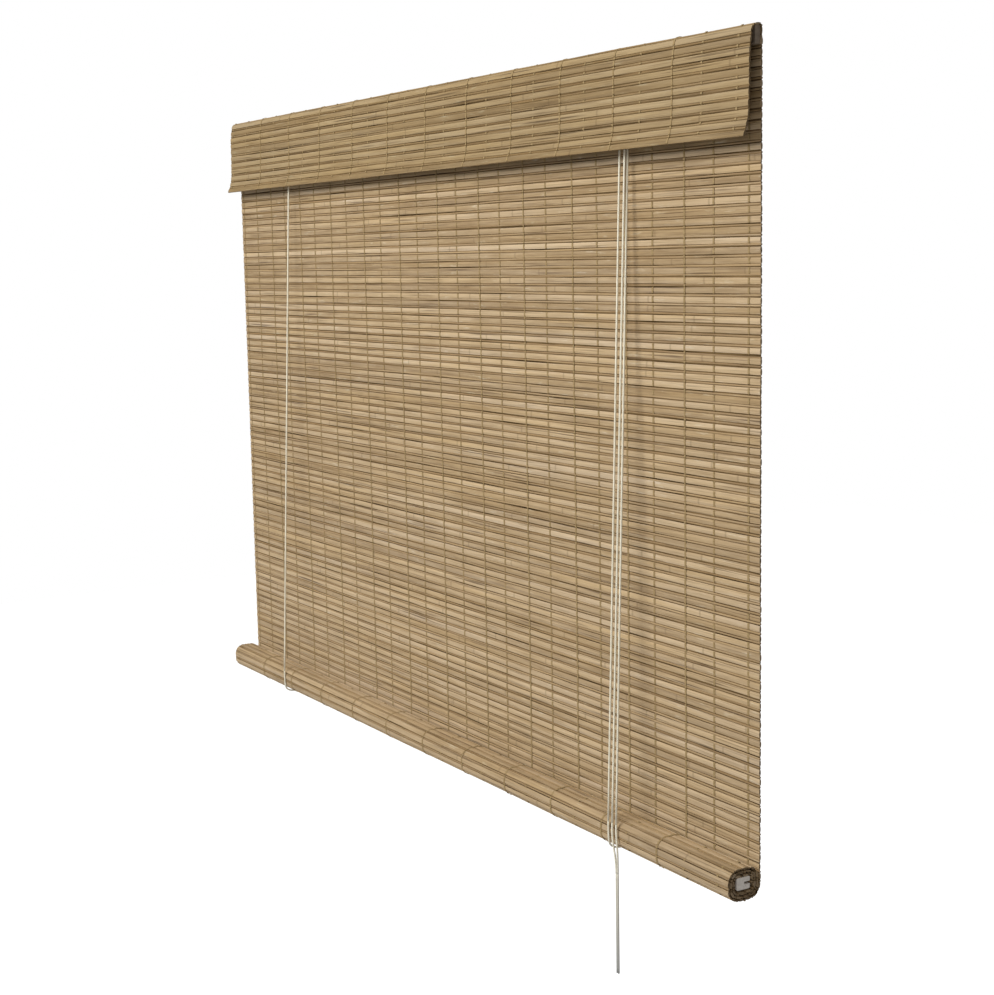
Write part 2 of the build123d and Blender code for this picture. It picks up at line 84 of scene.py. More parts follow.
def outline_edges(node):
    """Edges of the mat's outline at its left end, each with its long face's outward normal."""
    mesh = nodes[node].data
    end = min(vertex.co.x for vertex in mesh.vertices)
    edges = []
    for face in mesh.polygons:
        corners = [mesh.vertices[index].co for index in face.vertices]
        at_end = [corner for corner in corners if corner.x < end + 0.01 * MM]
        if len(at_end) == 2 and len(corners) == 3:
            edges.append((at_end[0].yz, at_end[1].yz, face.normal.yz.normalized()))
    return edges


def outline_loop(edges):
    """The outline's edges in order round the loop."""
    def key(point):
        return round(point.x / MM, 2), round(point.y / MM, 2)

    touching = {}
    for number, (start, end, _) in enumerate(edges):
        touching.setdefault(key(start), []).append(number)
        touching.setdefault(key(end), []).append(number)
    order, corner, number = [], key(edges[0][1]), 0
    while True:
        order.append(edges[number])
        following = [other for other in touching[corner] if other != number]
        if not following or following[0] == 0:
            return order
        number = following[0]
        start, end, _ = edges[number]
        corner = key(end) if key(start) == corner else key(start)


def slat_places(node):
    """Each slat's and stick's middle, room-side normal and width, in order."""
    slat_face = SLAT_WIDTH - 2 * SLAT_BEVEL
    stick_face = STICK_WIDTH - 2 * STICK_BEVEL
    faces = []
    for start, end, normal in outline_loop(outline_edges(node)):
        length = (end - start).length
        for size, width in ((slat_face, SLAT_WIDTH), (stick_face, STICK_WIDTH)):
            if abs(length - size) < 0.02 * MM:
                faces.append(((start + end) / 2 - normal * SLAT_THICKNESS / 2, normal, width))
    first = 0
    for number, (middle, _, _) in enumerate(faces):
        if (middle - faces[number - 1][0]).length < 0.02 * MM:
            first = number
            break
    faces = faces[first:] + faces[:first]
    places = faces[: len(faces) // 2]
    wallward = max(places, key=lambda place: place[0].x)
    sign = -1 if wallward[1].x > 0 else 1
    return [(middle, normal * sign, width) for middle, normal, width in places]


# Meshes

def new_piece(name, vertices, faces, material=None):
    mesh = bpy.data.meshes.new(name)
    mesh.from_pydata([tuple(vertex) for vertex in vertices], [], faces)
    mesh.update()
    piece = bpy.data.objects.new(name, mesh)
    bpy.context.scene.collection.objects.link(piece)
    if material:
        mesh.materials.append(material)
    return piece


def ribbon(line, thickness, x_low, x_high):
    """Closed flat strip along a line of (point, normal) in the YZ plane."""
    vertices, faces = [], []
    for point, normal in line:
        for x, side in ((x_low, -1), (x_high, -1), (x_high, 1), (x_low, 1)):
            place = point + normal * (side * thickness / 2)
            vertices.append((x, place.x, place.y))
    for ring in range(len(line) - 1):
        for corner in range(4):
            a = 4 * ring + corner
            b = 4 * ring + (corner + 1) % 4
            faces.append((a, b, b + 4, a + 4))
    last = 4 * (len(line) - 1)
    faces.append((3, 2, 1, 0))
    faces.append((last, last + 1, last + 2, last + 3))
    return vertices, faces


def woven_line(places, offset):
    """Line that passes each slat on one side and each stick on the other."""
    line = []
    for number, (middle, normal, width) in enumerate(places):
        along = Vector((-normal.y, normal.x))
        if number + 1 < len(places):
            ahead = places[number + 1][0] - middle
        else:
            ahead = middle - places[number - 1][0]
        if along.dot(ahead) < 0:
            along = -along
        side = offset if width == SLAT_WIDTH else -offset
        for step in (-0.42, 0.42):
            line.append((middle + along * (step * width) + normal * side, normal))
    return line


def web_line(places):
    """Middle line of the mat, run on to just past its first and last slat."""
    line = [(middle, normal) for middle, normal, _ in places]
    ends = []
    for last, beside in ((places[0], places[1]), (places[-1], places[-2])):
        middle, normal, width = last
        out = (middle - beside[0]).normalized() * (width / 2 + 0.3 * MM)
        ends.append((middle + out, normal))
    return [ends[0]] + line + [ends[1]]


def outward(mesh):
    """Turn every face of a closed mesh outwards."""
    work = bmesh.new()
    work.from_mesh(mesh)
    bmesh.ops.recalc_face_normals(work, faces=work.faces)
    work.to_mesh(mesh)
    work.free()


# Geometry Nodes

def new_tree(name, inputs):
    tree = bpy.data.node_groups.new(name, "GeometryNodeTree")
    tree.is_modifier = True
    tree.interface.new_socket(name="Geometry", in_out="INPUT", socket_type="NodeSocketGeometry")
    for label, kind, value in inputs:
        socket = tree.interface.new_socket(name=label, in_out="INPUT", socket_type=kind)
        if value is not None:
            socket.default_value = value
    tree.interface.new_socket(name="Geometry", in_out="OUTPUT", socket_type="NodeSocketGeometry")
    return tree


class Nodes:
    """Adds and joins the nodes of one tree."""

    def __init__(self, tree):
        self.tree = tree

    def add(self, kind, settings=None, **inputs):
        node = self.tree.nodes.new(kind)
        for setting, value in (settings or {}).items():
            setattr(node, setting, value)
        for label, value in inputs.items():
            self.put(node, label.replace("_", " "), value)
        return node

    def put(self, node, label, value):
        socket = node.inputs[int(label)] if label.isdigit() else node.inputs[label]
        if isinstance(value, bpy.types.NodeSocket):
            self.tree.links.new(value, socket)
        else:
            socket.default_value = value

    def math(self, operation, a, b=0.0, clamp=False):
        node = self.tree.nodes.new("ShaderNodeMath")
        node.operation = operation
        node.use_clamp = clamp
        self.put(node, "0", a)
        self.put(node, "1", b)
        return node.outputs[0]

    def vector(self, x, y, z):
        node = self.tree.nodes.new("ShaderNodeCombineXYZ")
        for label, value in zip("XYZ", (x, y, z)):
            self.put(node, label, value)
        return node.outputs[0]

    def split(self, vector):
        return self.add("ShaderNodeSeparateXYZ", Vector=vector).outputs

    def position(self):
        return self.split(self.add("GeometryNodeInputPosition").outputs[0])

    def named(self, label):
        """A number stored on the geometry, read in a Geometry Nodes tree."""
        node = self.add("GeometryNodeInputNamedAttribute", {"data_type": "FLOAT"}, Name=label)
        return node.outputs[0]

    def stored(self, label):
        """A number stored on the geometry, read in a material."""
        return self.add("ShaderNodeAttribute", {"attribute_name": label}).outputs["Fac"]

    def object_place(self):
        return self.add("ShaderNodeTexCoord").outputs["Object"]

    def random(self, low, high, seed):
        node = self.tree.nodes.new("FunctionNodeRandomValue")
        self.put(node, "2", low)
        self.put(node, "3", high)
        self.put(node, "8", seed)
        return node.outputs[1]


def slat_tree():
    """Lays a bamboo slat or stick at each point, each a little different, and lets it wander."""
    tree = new_tree("bamboo_slats", [
        ("Length", "NodeSocketFloat", 2 * HALF_WIDTH),
        ("Slat Width", "NodeSocketFloat", SLAT_WIDTH),
        ("Stick Width", "NodeSocketFloat", STICK_WIDTH),
        ("Thickness", "NodeSocketFloat", SLAT_THICKNESS),
        ("Wander", "NodeSocketFloat", 2.0 * MM),
        ("Seed", "NodeSocketInt", 7),
        ("Bamboo", "NodeSocketMaterial", None),
    ])
    n = Nodes(tree)
    given = n.add("NodeGroupInput").outputs
    wide = n.named("wide")
    turn = n.named("turn")
    narrow = n.math("SUBTRACT", 1.0, wide)
    laid = []
    for width, across, power, cut, chosen, seed in (
        (given["Slat Width"], 4, 6.0, 0.38, wide, 11),
        (given["Stick Width"], 3, 1.0, 0.3, narrow, 23),
    ):
        bar = n.add(
            "GeometryNodeMeshCube",
            Size=n.vector(given["Length"], given["Thickness"], width),
            Vertices_X=30,
            Vertices_Y=3,
            Vertices_Z=across,
        ).outputs[0]
        place = n.position()
        reach = n.math("ABSOLUTE", n.math("DIVIDE", place["Z"], n.math("MULTIPLY", width, 0.5)))
        half_thickness = n.math("MULTIPLY", given["Thickness"], 0.5)
        depth = n.math("ABSOLUTE", n.math("DIVIDE", place["Y"], half_thickness))
        thin = n.math("SUBTRACT", 1.0, n.math("MULTIPLY", n.math("POWER", reach, power), cut))
        draw = n.math("SUBTRACT", 1.0, n.math("MULTIPLY", depth, cut / power))
        rounded = n.vector(
            place["X"],
            n.math("MULTIPLY", place["Y"], thin),
            n.math("MULTIPLY", place["Z"], draw),
        )
        shaped = n.add("GeometryNodeSetPosition", Geometry=bar, Position=rounded).outputs[0]
        shift = n.math("ADD", given["Seed"], seed)
        size = n.vector(
            n.random(0.9988, 1.0, shift),
            n.random(0.82, 1.0, n.math("ADD", shift, 1)),
            n.random(0.91, 1.03, n.math("ADD", shift, 2)),
        )
        row = n.add(
            "GeometryNodeInstanceOnPoints",
            Points=given["Geometry"],
            Selection=chosen,
            Instance=shaped,
            Rotation=n.vector(turn, 0.0, 0.0),
            Scale=size,
        ).outputs[0]
        shade = n.random(0.0, 1.0, n.math("ADD", shift, 3))
        for label, value in (("shade", shade), ("stick", 1.0 if across == 3 else 0.0)):
            row = n.add(
                "GeometryNodeStoreNamedAttribute",
                {"data_type": "FLOAT", "domain": "INSTANCE"},
                Geometry=row,
                Name=label,
                Value=value,
            ).outputs[0]
        laid.append(row)
    joined = n.add("GeometryNodeJoinGeometry")
    for row in laid:
        tree.links.new(row, joined.inputs[0])
    real = n.add("GeometryNodeRealizeInstances", Geometry=joined.outputs[0]).outputs[0]
    shade = n.named("shade")
    along = n.position()["X"]
    noise = n.add(
        "ShaderNodeTexNoise",
        {"noise_dimensions": "4D"},
        Vector=n.vector(along, 0.0, 0.0),
        W=n.math("MULTIPLY", shade, 90.0),
        Scale=4.0,
        Detail=1.5,
    ).outputs["Color"]
    drift = n.split(noise)
    stick = n.named("stick")
    loose = n.math("MULTIPLY", given["Wander"], n.math("ADD", 1.0, n.math("MULTIPLY", stick, 0.9)))
    shallow = n.math("MULTIPLY", given["Wander"], 0.25)
    offset = n.vector(
        0.0,
        n.math("MULTIPLY", n.math("SUBTRACT", drift["Y"], 0.5), shallow),
        n.math("MULTIPLY", n.math("SUBTRACT", drift["Z"], 0.5), loose),
    )
    moved = n.add("GeometryNodeSetPosition", Geometry=real, Offset=offset).outputs[0]
    done = n.add("GeometryNodeSetMaterial", Geometry=moved, Material=given["Bamboo"]).outputs[0]
    n.add("NodeGroupOutput", Geometry=done)
    return tree


def thread_tree():
    """Repeats one woven thread at each point along the blind, and lets it wander sideways."""
    tree = new_tree("warp_threads", [
        ("Thread", "NodeSocketObject", None),
        ("Wander", "NodeSocketFloat", 2.4 * MM),
        ("Seed", "NodeSocketInt", 5),
        ("Yarn", "NodeSocketMaterial", None),
    ])
    n = Nodes(tree)
    given = n.add("NodeGroupInput").outputs
    thread = n.add("GeometryNodeObjectInfo", Object=given["Thread"]).outputs["Geometry"]
    row = n.add(
        "GeometryNodeInstanceOnPoints",
        Points=given["Geometry"],
        Instance=thread,
    ).outputs[0]
    row = n.add(
        "GeometryNodeStoreNamedAttribute",
        {"data_type": "FLOAT", "domain": "INSTANCE"},
        Geometry=row,
        Name="shade",
        Value=n.random(0.0, 1.0, given["Seed"]),
    ).outputs[0]
    real = n.add("GeometryNodeRealizeInstances", Geometry=row).outputs[0]
    place = n.position()
    shade = n.named("shade")
    noise = n.add(
        "ShaderNodeTexNoise",
        {"noise_dimensions": "4D"},
        Vector=n.vector(0.0, 0.0, place["Z"]),
        W=n.math("MULTIPLY", shade, 60.0),
        Scale=22.0,
        Detail=2.0,
    ).outputs["Fac"]
    sideways = n.math("MULTIPLY", n.math("SUBTRACT", noise, 0.5), given["Wander"])
    offset = n.vector(sideways, 0.0, 0.0)
    moved = n.add("GeometryNodeSetPosition", Geometry=real, Offset=offset).outputs[0]
    done = n.add("GeometryNodeSetMaterial", Geometry=moved, Material=given["Yarn"]).outputs[0]
    n.add("NodeGroupOutput", Geometry=done)
    return tree


def grown(seedling, tree, name, **values):
    """The plain mesh that a tree makes on this object."""
    modifier = seedling.modifiers.new("build", "NODES")
    modifier.node_group = tree
    for item in tree.interface.items_tree:
        if item.item_type == "SOCKET" and item.in_out == "INPUT" and item.name in values:
            modifier[item.identifier] = values[item.name]
    depsgraph = bpy.context.evaluated_depsgraph_get()
    mesh = bpy.data.meshes.new_from_object(
        seedling.evaluated_get(depsgraph), preserve_all_data_layers=True, depsgraph=depsgraph
    )
    mesh.name = name
    bpy.data.objects.remove(seedling)
    piece = bpy.data.objects.new(name, mesh)
    bpy.context.scene.collection.objects.link(piece)
    return piece


# Materials

def new_material(name, roughness):
    material = bpy.data.materials.new(name)
    material.use_nodes = True
    tree = material.node_tree
    tree.nodes.clear()
    n = Nodes(tree)
    shader = n.add("ShaderNodeBsdfPrincipled", Roughness=roughness)
    n.add("ShaderNodeOutputMaterial", Surface=shader.outputs[0])
    return material, n, shader


def ramp(n, value, stops):
    node = n.add("ShaderNodeValToRGB", Fac=value)
    band = node.color_ramp
    while len(band.elements) < len(stops):
        band.elements.new(0.5)
    for element, (position, colour) in zip(band.elements, stops):
        element.position = position
        element.color = (*colour, 1.0)
    return node.outputs["Color"]


def mixed(n, blend, amount, first, second):
    node = n.add("ShaderNodeMix", {"data_type": "RGBA", "blend_type": blend})
    n.put(node, "0", amount)
    for index, value in ((6, first), (7, second)):
        linked = isinstance(value, bpy.types.NodeSocket)
        n.put(node, str(index), value if linked else (*value, 1.0))
    return node.outputs[2]


def bumped(n, shader, height, distance, strength=1.0):
    bump = n.add("ShaderNodeBump", Height=height, Distance=distance, Strength=strength)
    n.put(shader, "Normal", bump.outputs[0])


def stretched_noise(n, scale, detail=3.0, w=0.0, roughness=0.55):
    """Noise on object coordinates, drawn out by the given scale along each axis."""
    mapping = n.add("ShaderNodeMapping", Vector=n.object_place(), Scale=scale)
    return n.add(
        "ShaderNodeTexNoise",
        {"noise_dimensions": "4D"},
        Vector=mapping.outputs[0],
        W=w,
        Scale=1.0,
        Detail=detail,
        Roughness=roughness,
    ).outputs["Fac"]


def bamboo():
    material, n, shader = new_material("bamboo", 0.62)
    shade = n.stored("shade")
    stick = n.stored("stick")
    own = n.math("MULTIPLY", shade, 80.0)
    broad = stretched_noise(n, (2.5, 60.0, 60.0), 2.0, own)
    mottle = stretched_noise(n, (18.0, 160.0, 160.0), 4.0, n.math("ADD", own, 3.0), 0.65)
    fine = stretched_noise(n, (14.0, 1500.0, 1500.0), 4.0, own)
    tone = n.math("ADD", n.math("MULTIPLY", shade, 0.50), n.math("MULTIPLY", broad, 0.70))
    tone = n.math("ADD", tone, n.math("MULTIPLY", mottle, 0.80))
    bands = stretched_noise(n, (1.5, 1.5, 16.0), 2.0)
    tone = n.math("ADD", tone, n.math("MULTIPLY", bands, 0.50))
    tone = n.math("SUBTRACT", tone, 0.85, True)
    colour = ramp(n, tone, [
        (0.0, (0.56, 0.43, 0.278)),
        (0.35, (0.465, 0.343, 0.204)),
        (0.7, (0.335, 0.234, 0.126)),
        (1.0, (0.215, 0.140, 0.068)),
    ])
    scuff = stretched_noise(n, (30.0, 260.0, 260.0), 3.0, n.math("ADD", own, 11.0), 0.7)
    scuff = n.math("MULTIPLY", n.math("SUBTRACT", scuff, 0.60, True), 7.0, True)
    colour = mixed(n, "MIX", n.math("MULTIPLY", scuff, 0.55), colour, (0.62, 0.55, 0.41))
    streak = n.math("MULTIPLY", n.math("SUBTRACT", fine, 0.5), 2.2)
    colour = mixed(n, "MULTIPLY", 1.0, colour, ramp(n, n.math("ADD", streak, 0.6, True), [
        (0.0, (0.55, 0.50, 0.45)),
        (0.5, (1.0, 1.0, 1.0)),
        (1.0, (1.18, 1.18, 1.16)),
    ]))
    stain = stretched_noise(n, (7.0, 420.0, 420.0), 2.0, n.math("ADD", own, 7.0))
    stain = n.math("MULTIPLY", n.math("SUBTRACT", stain, 0.60, True), 9.0, True)
    colour = mixed(n, "MIX", n.math("MULTIPLY", stain, 0.75), colour, (0.085, 0.05, 0.025))
    along = n.math("ADD", n.split(n.object_place())["X"], n.math("MULTIPLY", shade, 37.0))
    run = n.math("FRACT", n.math("DIVIDE", along, 0.36))
    near = n.math("ABSOLUTE", n.math("SUBTRACT", run, 0.5))
    joint = n.math("MULTIPLY", n.math("SUBTRACT", 0.006, near, True), 170.0, True)
    joint = n.math("MULTIPLY", joint, n.math("SUBTRACT", 1.0, stick))
    colour = mixed(n, "MIX", n.math("MULTIPLY", joint, 0.40), colour, (0.17, 0.11, 0.055))
    colour = mixed(n, "MULTIPLY", n.math("MULTIPLY", stick, 0.65), colour, (0.64, 0.56, 0.42))
    side = n.split(n.add("ShaderNodeNewGeometry").outputs["True Normal"])["X"]
    sawn = n.math("GREATER_THAN", n.math("ABSOLUTE", side), 0.9)
    colour = mixed(n, "MIX", n.math("MULTIPLY", sawn, 0.7), colour, (0.20, 0.14, 0.085))
    hue = stretched_noise(n, (3.0, 90.0, 90.0), 2.0, n.math("ADD", own, 21.0))
    tint = ramp(n, hue, [(0.3, (1.03, 1.0, 0.91)), (0.7, (0.98, 1.0, 1.06))])
    colour = mixed(n, "MULTIPLY", 1.0, colour, tint)
    # Painted shade: slats with a low tone, the valance's, are darkened to about three quarters;
    # the other slats are painted 4% lighter.
    valance_painted_shade_tint = ramp(n, n.stored("tone"), [
        (0.0, (0.745, 0.725, 0.635)),
        (1.0, (1.04, 1.04, 1.05)),
    ])
    n.put(shader, "Base Color", mixed(n, "MULTIPLY", 1.0, colour, valance_painted_shade_tint))
    n.put(shader, "Specular IOR Level", 0.22)
    bumped(n, shader, n.math("ADD", fine, n.math("MULTIPLY", joint, 0.8)), 0.25 * MM, 0.6)
    return material


def yarn():
    material, n, shader = new_material("warp_yarn", 0.85)
    shade = n.stored("shade")
    twist = stretched_noise(n, (900.0, 900.0, 1300.0), 2.0, shade)
    colour = ramp(n, twist, [
        (0.3, (0.25, 0.165, 0.066)),
        (0.55, (0.35, 0.245, 0.110)),
        (0.8, (0.43, 0.31, 0.155)),
    ])
    n.put(shader, "Base Color", colour)
    bumped(n, shader, twist, 0.2 * MM, 0.7)
    return material


# Dark backing sheet in the mat's middle: its near-black brown is painted shade, seen through the
# gaps between the slats.
def web():
    material, n, shader = new_material("mat_web", 0.9)
    grain = stretched_noise(n, (12.0, 300.0, 300.0), 3.0)
    colour = ramp(n, grain, [(0.35, (0.040, 0.023, 0.009)), (0.65, (0.25, 0.162, 0.075))])
    n.put(shader, "Base Color", colour)
    n.put(shader, "Specular IOR Level", 0.05)
    return material


def wood(name, dark, pale, roughness):
    material, n, shader = new_material(name, roughness)
    rings = stretched_noise(n, (5.0, 260.0, 260.0), 4.0)
    pores = stretched_noise(n, (60.0, 1800.0, 1800.0), 2.0, 3.0)
    tone = n.math("ADD", n.math("MULTIPLY", rings, 0.8), n.math("MULTIPLY", pores, 0.25))
    n.put(shader, "Base Color", ramp(n, tone, [(0.3, dark), (0.7, pale)]))
    bumped(n, shader, pores, 0.2 * MM, 0.5)
    return material


def braid():
    """Braided cord: two sets of strands that cross, on the tube's own UV."""
    material, n, shader = new_material("lift_cord", 0.8)
    uv = n.split(n.add("ShaderNodeUVMap").outputs[0])
    lanes = []
    for hand in (1.0, -1.0):
        round_turn = n.math("MULTIPLY", uv["Y"], 4.0 * hand)
        lane = n.math("ADD", n.math("MULTIPLY", uv["X"], 420.0), round_turn)
        lanes.append(n.math("ABSOLUTE", n.math("SINE", n.math("MULTIPLY", lane, math.pi))))
    strands = n.math("MAXIMUM", *lanes)
    place = n.split(n.object_place())["Z"]
    # The cord is drawn greyer below about 0.8 m down, towards its hanging tails.
    greyer_lower_down = n.math("MULTIPLY", n.math("SUBTRACT", -0.80, place), 7.0, True)
    clean = ramp(n, strands, [(0.3, (0.64, 0.58, 0.43)), (0.9, (0.93, 0.88, 0.72))])
    grey = ramp(n, strands, [(0.3, (0.27, 0.265, 0.25)), (0.9, (0.46, 0.455, 0.43))])
    n.put(shader, "Base Color", mixed(n, "MIX", greyer_lower_down, clean, grey))
    bumped(n, shader, strands, 0.25 * MM, 0.8)
    return material


def plated_steel():
    material, n, shader = new_material("plated_steel", 0.34)
    n.put(shader, "Metallic", 1.0)
    cloud = stretched_noise(n, (160.0, 160.0, 160.0), 4.0)
    colour = ramp(n, cloud, [(0.3, (0.50, 0.50, 0.49)), (0.7, (0.68, 0.68, 0.66))])
    n.put(shader, "Base Color", colour)
    n.put(shader, "Roughness", n.math("ADD", n.math("MULTIPLY", cloud, 0.3), 0.18))
    return material


def cast_zinc():
    material, n, shader = new_material("cast_zinc", 0.5)
    n.put(shader, "Metallic", 1.0)
    pits = stretched_noise(n, (900.0, 900.0, 900.0), 3.0)
    colour = ramp(n, pits, [(0.3, (0.36, 0.36, 0.37)), (0.7, (0.55, 0.55, 0.56))])
    n.put(shader, "Base Color", colour)
    bumped(n, shader, pits, 0.1 * MM, 0.5)
    return material


def nylon():
    material, n, shader = new_material("wheel_nylon", 0.42)
    grain = stretched_noise(n, (700.0, 700.0, 700.0), 2.0)
    colour = ramp(n, grain, [(0.3, (0.70, 0.68, 0.62)), (0.7, (0.80, 0.78, 0.72))])
    n.put(shader, "Base Color", colour)
    bumped(n, shader, grain, 0.05 * MM, 0.4)
    return material


bamboo_finish = bamboo()
yarn_finish = yarn()
gap_shade_web_finish = web()
cord_finish = braid()
steel_finish = plated_steel()
zinc_finish = cast_zinc()
nylon_finish = nylon()
batten_finish = wood("batten_wood", (0.14, 0.105, 0.072), (0.26, 0.200, 0.145), 0.7)
rail_finish = wood("rail_wood", (0.68, 0.61, 0.54), (0.90, 0.84, 0.76), 0.65)

for name, node in nodes.items():
    finish = steel_finish
    if name == "headrail":
        finish = batten_finish
    elif name == "bottom_rail":
        finish = rail_finish
    elif name.endswith("_wheel"):
        finish = nylon_finish
    elif name == "cord_lock_cam":
        finish = zinc_finish
    for slot in node.material_slots:
        slot.material = finish


# Woven mat

# Warp threads' places from the left edge; every second one also shows on the mat's back
THREAD_PITCH = 49.6 * MM
THREAD_LEAN = 3.2 * MM
THREAD_COUNT = 25
FIRST_THREAD = 10.0 * MM
THREAD_HALF_WIDTH = 1.3 * MM
THREAD_THICKNESS = 0.34 * MM
THREAD_LIFT = 0.12 * MM
WEB_THICKNESS = 0.4 * MM
WEB_INSET = 0.3 * MM

# Slats this far in front of the wall, and this much further, get the valance's painted shade, a
# darker tint
VALANCE_START = 6 * MM
VALANCE_FADE = 8 * MM

thread_xs = []
for number in range(THREAD_COUNT):
    lean = THREAD_LEAN if number % 2 else -THREAD_LEAN
    even = -HALF_WIDTH + FIRST_THREAD + number * THREAD_PITCH
    thread_xs.append(even - (lean if number else 0) / 2)
back_thread_xs = thread_xs[2:-1:2]

slats = slat_tree()
threads = thread_tree()


def dress_mat(node, name, body):
    """The slats, warp threads and dark backing sheet of one part of the mat; the sheet's
    near-black brown is painted shade, seen through the gaps between slats.
    """
    places = slat_places(node)
    middles = [(0, middle.x, middle.y) for middle, _, _ in places]
    seedling = new_piece(name + "_seed", middles, [])
    wide = seedling.data.attributes.new("wide", "FLOAT", "POINT")
    turn = seedling.data.attributes.new("turn", "FLOAT", "POINT")
    tone = seedling.data.attributes.new("tone", "FLOAT", "POINT")
    for number, (middle, normal, width) in enumerate(places):
        # A tone of 0 marks a valance slat for the painted shade, 1 a slat that gets the slightly
        # lighter tint.
        forward = (-middle.x - VALANCE_START) / VALANCE_FADE if body == "root" else 0.0
        tone.data[number].value = 1.0 - min(max(forward, 0.0), 1.0)
        wide.data[number].value = 1.0 if width == SLAT_WIDTH else 0.0
        turn.data[number].value = math.atan2(normal.y, normal.x) - math.pi
    made = [grown(seedling, slats, name + "_slats", Bamboo=bamboo_finish, Seed=len(places))]
    for side, xs, label in (
        (1, thread_xs, "_face_threads"),
        (-1, back_thread_xs, "_back_threads"),
    ):
        line = woven_line(places, side * (SLAT_THICKNESS / 2 + THREAD_LIFT))
        vertices, faces = ribbon(line, THREAD_THICKNESS, -THREAD_HALF_WIDTH, THREAD_HALF_WIDTH)
        strand = new_piece(name + "_strand", vertices, faces)
        outward(strand.data)
        row = new_piece(name + "_row", [(x, 0, 0) for x in xs], [])
        seed = len(places) + side
        grown_row = grown(row, threads, name + label, Thread=strand, Yarn=yarn_finish, Seed=seed)
        made.append(grown_row)
        bpy.data.objects.remove(strand)
    reach = HALF_WIDTH - WEB_INSET
    vertices, faces = ribbon(web_line(places), WEB_THICKNESS, -reach, reach)
    # The backing sheet is coloured near-black as painted shade in the gaps between slats.
    gap_shade_sheet = new_piece(name + "_web", vertices, faces, gap_shade_web_finish)
    outward(gap_shade_sheet.data)
    made.append(gap_shade_sheet)
    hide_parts(node)
    for piece in made:
        if body:
            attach(piece, body)
        else:
            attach(piece, "root")
            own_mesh(piece)


dress_mat("woven_mat", "upper_mat", "root")
dress_mat("mat_drop", "lower_mat", None)
dress_mat("mat_roll", "rolled_mat", "roll")


# Lift cords

# The cords' places, in millimetres
LEFT_WHEEL_X = -408.0
LOCK_WHEEL_X = 399.0
WHEEL_RADIUS = 7.0
OVER_WHEEL = -13.0
STRAND_END = -44.0
SLING_TOP = -790.0
TAIL_END = -951.5
PULLEY_STRAIGHT = 13.2
LEFT_GROOVE_Y = -12.3
RIGHT_GROOVE_Y = -8.8
CORD_BACK_Y = -1.6
BACK_TOP = 5.4

# What share of its length each straight strand keeps at full lift
STRAND_KEEP = 0.1954
BACK_KEEP = 0.2455


def route_points(points):
    """Points along a smooth curve whose control points are the route's, in metres."""
    curve = bpy.data.curves.new("route", "CURVE")
    curve.dimensions = "3D"
    spline = curve.splines.new("NURBS")
    spline.points.add(len(points) - 1)
    for target, point in zip(spline.points, points):
        target.co = (point[0] * MM, point[1] * MM, point[2] * MM, 1.0)
    spline.order_u = 3
    spline.use_endpoint_u = True
    spline.resolution_u = 10
    guide = bpy.data.objects.new("route", curve)
    bpy.context.scene.collection.objects.link(guide)
    depsgraph = bpy.context.evaluated_depsgraph_get()
    mesh = bpy.data.meshes.new_from_object(guide.evaluated_get(depsgraph))
    path = [vertex.co.copy() for vertex in mesh.vertices]
    bpy.data.objects.remove(guide)
    bpy.data.curves.remove(curve)
    bpy.data.meshes.remove(mesh)
    return path


def cord_tube(name, path):
    """Round cord along a path, with its length and turn in the UV map."""
    sides = CORD_SIDES
    vertices, faces, uvs = [], [], []
    tangent = (path[1] - path[0]).normalized()
    normal = tangent.orthogonal().normalized()
    run = 0.0
    runs = []
    for number, point in enumerate(path):
        before = path[max(number - 1, 0)]
        after = path[min(number + 1, len(path) - 1)]
        ahead = (after - before).normalized()
        normal = (normal - ahead * normal.dot(ahead)).normalized()
        across = ahead.cross(normal)
        if number:
            run += (point - before).length
        runs.append(run)
        for side in range(sides):
            angle = 2 * math.pi * side / sides
            outwards = normal * math.cos(angle) + across * math.sin(angle)
            vertices.append(point + outwards * CORD_DIAMETER / 2)
    for ring in range(len(path) - 1):
        for side in range(sides):
            a = ring * sides + side
            b = ring * sides + (side + 1) % sides
            faces.append((a, b, b + sides, a + sides))
            uvs += [
                (runs[ring], side / sides),
                (runs[ring], (side + 1) / sides),
                (runs[ring + 1], (side + 1) / sides),
                (runs[ring + 1], side / sides),
            ]
    faces.append(tuple(reversed(range(sides))))
    faces.append(tuple(range(len(vertices) - sides, len(vertices))))
    uvs += [(0.0, 0.0)] * (2 * sides)
    piece = new_piece(name, vertices, faces, cord_finish)
    layer = piece.data.uv_layers.new(name="UVMap")
    for target, uv in zip(layer.data, uvs):
        target.uv = uv
    for face in piece.data.polygons:
        face.use_smooth = len(face.vertices) == 4
    return piece, run


def lay_cord(node, points, far_end, lay):
    path = route_points(points)
    piece, length = cord_tube(node + "_run", path)
    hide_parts(node)
    return piece, path, length, far_end, lay


def straight(start, end):
    middle = [(a + b) / 2 for a, b in zip(start, end)]
    return [start, middle, end]


def sling(x):
    return [
        (x, -44.9, SLING_TOP),
        (x, -45.0, -810.5),
        (x, -42.6, -817.2),
        (x, -34.8, -821.4),
        (x, -12.6, -821.4),
        (x, -4.2, -817.0),
        (x, CORD_BACK_Y, -809.5),
        (x, CORD_BACK_Y, SLING_TOP),
    ]


def over(x_up, x_down, y):
    """Up one side of the wheels, over, and down the other side."""
    below = OVER_WHEEL - PULLEY_STRAIGHT
    points = [(x_up, y, STRAND_END), (x_up, y, below), (x_up, y, OVER_WHEEL)]
    if x_down - x_up > 4 * PULLEY_STRAIGHT:
        points.append((x_up + PULLEY_STRAIGHT, y, OVER_WHEEL))
        points.append((x_down - PULLEY_STRAIGHT, y, OVER_WHEEL))
    return points + [(x_down, y, OVER_WHEEL), (x_down, y, below), (x_down, y, STRAND_END)]


